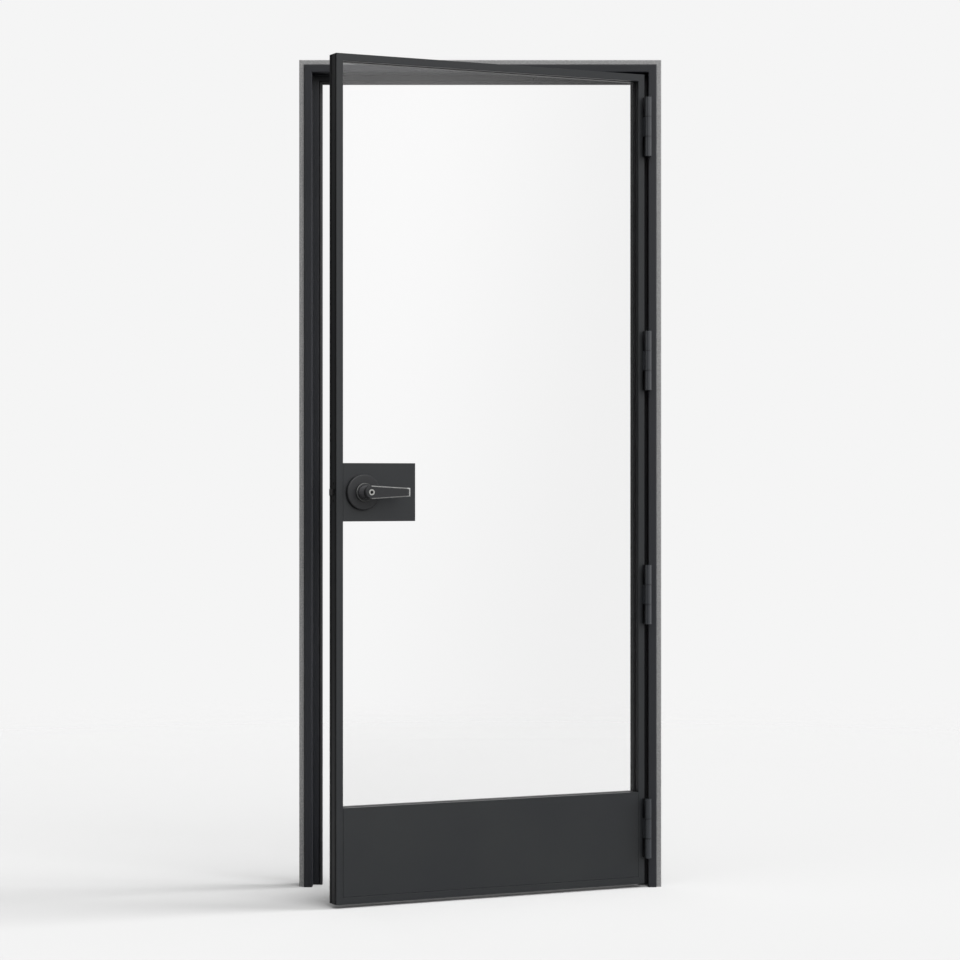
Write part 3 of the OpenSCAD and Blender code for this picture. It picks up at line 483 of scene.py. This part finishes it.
def cast_lever(name, place, cylinder_bore):
    """Models a lever about its spindle's axis and sets it in place on the leaf."""
    back = lever_reach - lever_t
    lever = start_piece(name, hub_r, back)
    lever.data.materials.append(hardware_paint)
    lever.data.materials.append(lever_highlight_metal)
    pick(lever, "VERT", lambda vertex: vertex.co.x > tiny)
    bpy.ops.mesh.delete(type="VERT")
    pick(lever, "VERT", lambda vertex: vertex.co.x > -tiny)
    pull(lever_len, 0, 0)
    bpy.ops.transform.resize(
        value=(1, lever_tip_h / 2 / hub_r, 1), center_override=(lever_len, 0, back))
    bpy.ops.mesh.edge_face_add()
    bpy.ops.mesh.select_all(action="SELECT")
    bpy.ops.mesh.edge_face_add()
    pull(0, 0, lever_t)
    pick(lever, "EDGE", lambda edge: level_with(back)(edge) or level_with(lever_reach)(edge))
    bpy.ops.mesh.bevel(
        offset=lever_bevel, offset_type="OFFSET", segments=1, affect="EDGES", material=highlight_slot)
    pick(lever, "FACE", lambda face: face.calc_center_median().x < tiny)
    lever.active_material_index = coat_slot
    bpy.ops.object.material_slot_assign()
    bpy.ops.mesh.select_all(action="SELECT")
    bpy.ops.mesh.bisect(plane_co=(lever_len - tip_slope_l, 0, 0), plane_no=(1, 0, 0))
    pick(lever, "VERT", lambda vertex: (
        vertex.co.x > lever_len - lever_bevel - tiny and vertex.co.z > lever_reach - tiny))
    bpy.ops.transform.translate(value=(0, 0, -tip_slope_h))
    bpy.ops.object.mode_set(mode="OBJECT")

    neck = start_piece("neck", neck_r, neck_start)
    neck.data.materials.append(neck_paint)
    bpy.ops.mesh.edge_face_add()
    pull(0, 0, lever_reach - lever_t / 2 - neck_start)
    pick(neck, "FACE", level_with(neck_start))
    bpy.ops.mesh.inset(thickness=neck_r - spindle_bore_r)
    pull(0, 0, spindle_bore_end - neck_start)
    face_outwards()
    join(lever, neck, "UNION")

    if cylinder_bore:
        bore = start_piece("bore", cylinder_bore_r, spindle_bore_end)
        bore.data.materials.append(hardware_paint)
        bpy.ops.mesh.edge_face_add()
        pull(0, 0, lever_reach)
        face_outwards()
        join(lever, bore, "DIFFERENCE")
    set_in_place(lever, place)
    return lever


for side, place in sides.items():
    lever = cast_lever(f"lever_{side}_cast", place, side == "outside")
    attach(lever, f"lever_{side}")
    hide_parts(f"lever_{side}")
dress(["key_cylinder"], steel, edge=0.4 * MM)
dress(["key_plug"], dark_steel, edge=0.2 * MM)

# Studio: a pale floor that fades into a plain pale ground, and a dim room with soft boxes that
# the paint mirrors. A soft light on the right throws the shadow to the left, and a wider one
# in front throws a faint shadow behind the door.
ground_colour = "#f5f5f5"
floor_seen_colour = "#b8b8b8"
floor_thrown_colour = "#7b7b7b"
floor_size = 14
fade_start = 3.0
fade_end = 6.5

bpy.ops.mesh.primitive_plane_add(size=floor_size, location=(0, 0, 0))
floor = bpy.context.object
floor.name = "floor"


# Paper floor: the camera sees it pale, while what it throws back on the door is dimmer.
def pale_floor():
    material, tree, place = start_material("pale studio floor")
    far = add_node(tree, "VectorMath", {0: place}, operation="LENGTH")
    fade = add_node(tree, "MapRange", {
        "Value": far.outputs["Value"], "From Min": fade_start, "From Max": fade_end},
        interpolation_type="SMOOTHSTEP")
    path = add_node(tree, "LightPath")
    seen = add_node(tree, "BsdfDiffuse", {"Color": linear(floor_seen_colour)})
    thrown = add_node(tree, "BsdfDiffuse", {"Color": linear(floor_thrown_colour)})
    matt = add_node(tree, "MixShader", {
        0: path.outputs["Is Camera Ray"], 1: thrown.outputs["BSDF"], 2: seen.outputs["BSDF"]})
    clear = add_node(tree, "BsdfTransparent")
    mix = add_node(tree, "MixShader", {
        0: fade.outputs["Result"], 1: matt.outputs["Shader"], 2: clear.outputs["BSDF"]})
    show(tree, mix.outputs["Shader"])
    return material


floor.data.materials.append(pale_floor())

# The main soft box stands to the right of the camera and ends at a plane, past which little of
# its light is left. The others are dimmer or narrower.
dim_level = 0.08
main_box = {"middle": (0.62, -0.62, 0.48), "start": 0.6, "full": 1.0, "level": 1.45}
main_box_end = Vector((0.627, 0.779, -0.16))
main_box_blur = 0.05
level_past_end = 0.3
other_boxes = {
    "over the camera": {"middle": (0.15, -0.6, 0.79), "start": 0.6, "full": 0.9, "level": 1.2},
    "right": {"middle": (0.9, 0.35, 0.25), "start": 0.7, "full": 0.95, "level": 1.1},
    "left": {"middle": (-0.75, -0.55, 0.36), "start": 0.85, "full": 0.97, "level": 0.8},
    "low behind": {"middle": (0, 1, -0.08), "start": 0.85, "full": 0.97, "level": 0.8},
    "high behind": {"middle": (-0.2, 0.75, 0.63), "start": 0.87, "full": 0.96, "level": 0.9},
}

world = bpy.data.worlds.new("studio")
bpy.context.scene.world = world
world.use_nodes = True
sky = world.node_tree
sky.nodes.clear()
direction = add_node(sky, "TexCoord").outputs["Generated"]


def softbox(middle, start, full, level):
    """Brightness of a soft box about a direction, from none at the cosine start to all at full."""
    near = add_node(sky, "VectorMath", {
        0: direction, 1: Vector(middle).normalized()}, operation="DOT_PRODUCT")
    return add_node(sky, "MapRange", {
        "Value": near.outputs["Value"], "From Min": start, "From Max": full,
        "To Min": 0.0, "To Max": level}, interpolation_type="SMOOTHSTEP").outputs["Result"]


past_end = add_node(sky, "VectorMath", {0: direction, 1: main_box_end}, operation="DOT_PRODUCT")
share = add_node(sky, "MapRange", {
    "Value": past_end.outputs["Value"], "From Min": -main_box_blur, "From Max": main_box_blur,
    "To Min": 1.0, "To Max": level_past_end}, interpolation_type="SMOOTHSTEP")
brightness = add_node(sky, "Math", {
    0: softbox(**main_box), 1: share.outputs["Result"], 2: dim_level}, operation="MULTIPLY_ADD")
for box in other_boxes.values():
    brightness = add_node(sky, "Math", {
        0: brightness.outputs["Value"], 1: softbox(**box)}, operation="ADD")
room = add_node(sky, "Background", {
    "Color": linear("#ffffff"), "Strength": brightness.outputs["Value"]})
ground = add_node(sky, "Background", {"Color": linear(ground_colour), "Strength": 1.0})
path = add_node(sky, "LightPath")
both = add_node(sky, "MixShader", {
    0: path.outputs["Is Camera Ray"], 1: room.outputs["Background"], 2: ground.outputs["Background"]})
add_node(sky, "OutputWorld", {"Surface": both.outputs["Shader"]})

lamp_distance = 4


def add_sun(name, azimuth, elevation, width, strength):
    """A distant soft light. Azimuth 0 shines from the camera's side and 90 from the right."""
    turn = math.radians(azimuth)
    rise = math.radians(elevation)
    towards = Vector((math.sin(turn) * math.cos(rise), -math.cos(turn) * math.cos(rise), math.sin(rise)))
    bpy.ops.object.light_add(type="SUN", location=lamp_distance * towards)
    lamp = bpy.context.object
    lamp.name = name
    lamp.rotation_euler = towards.to_track_quat("Z", "Y").to_euler()
    lamp.data.angle = math.radians(width)
    lamp.data.energy = strength
    lamp.visible_glossy = False


add_sun("right_softbox", azimuth=96, elevation=22, width=34, strength=4.6)
add_sun("front_softbox", azimuth=25, elevation=35, width=50, strength=2.2)
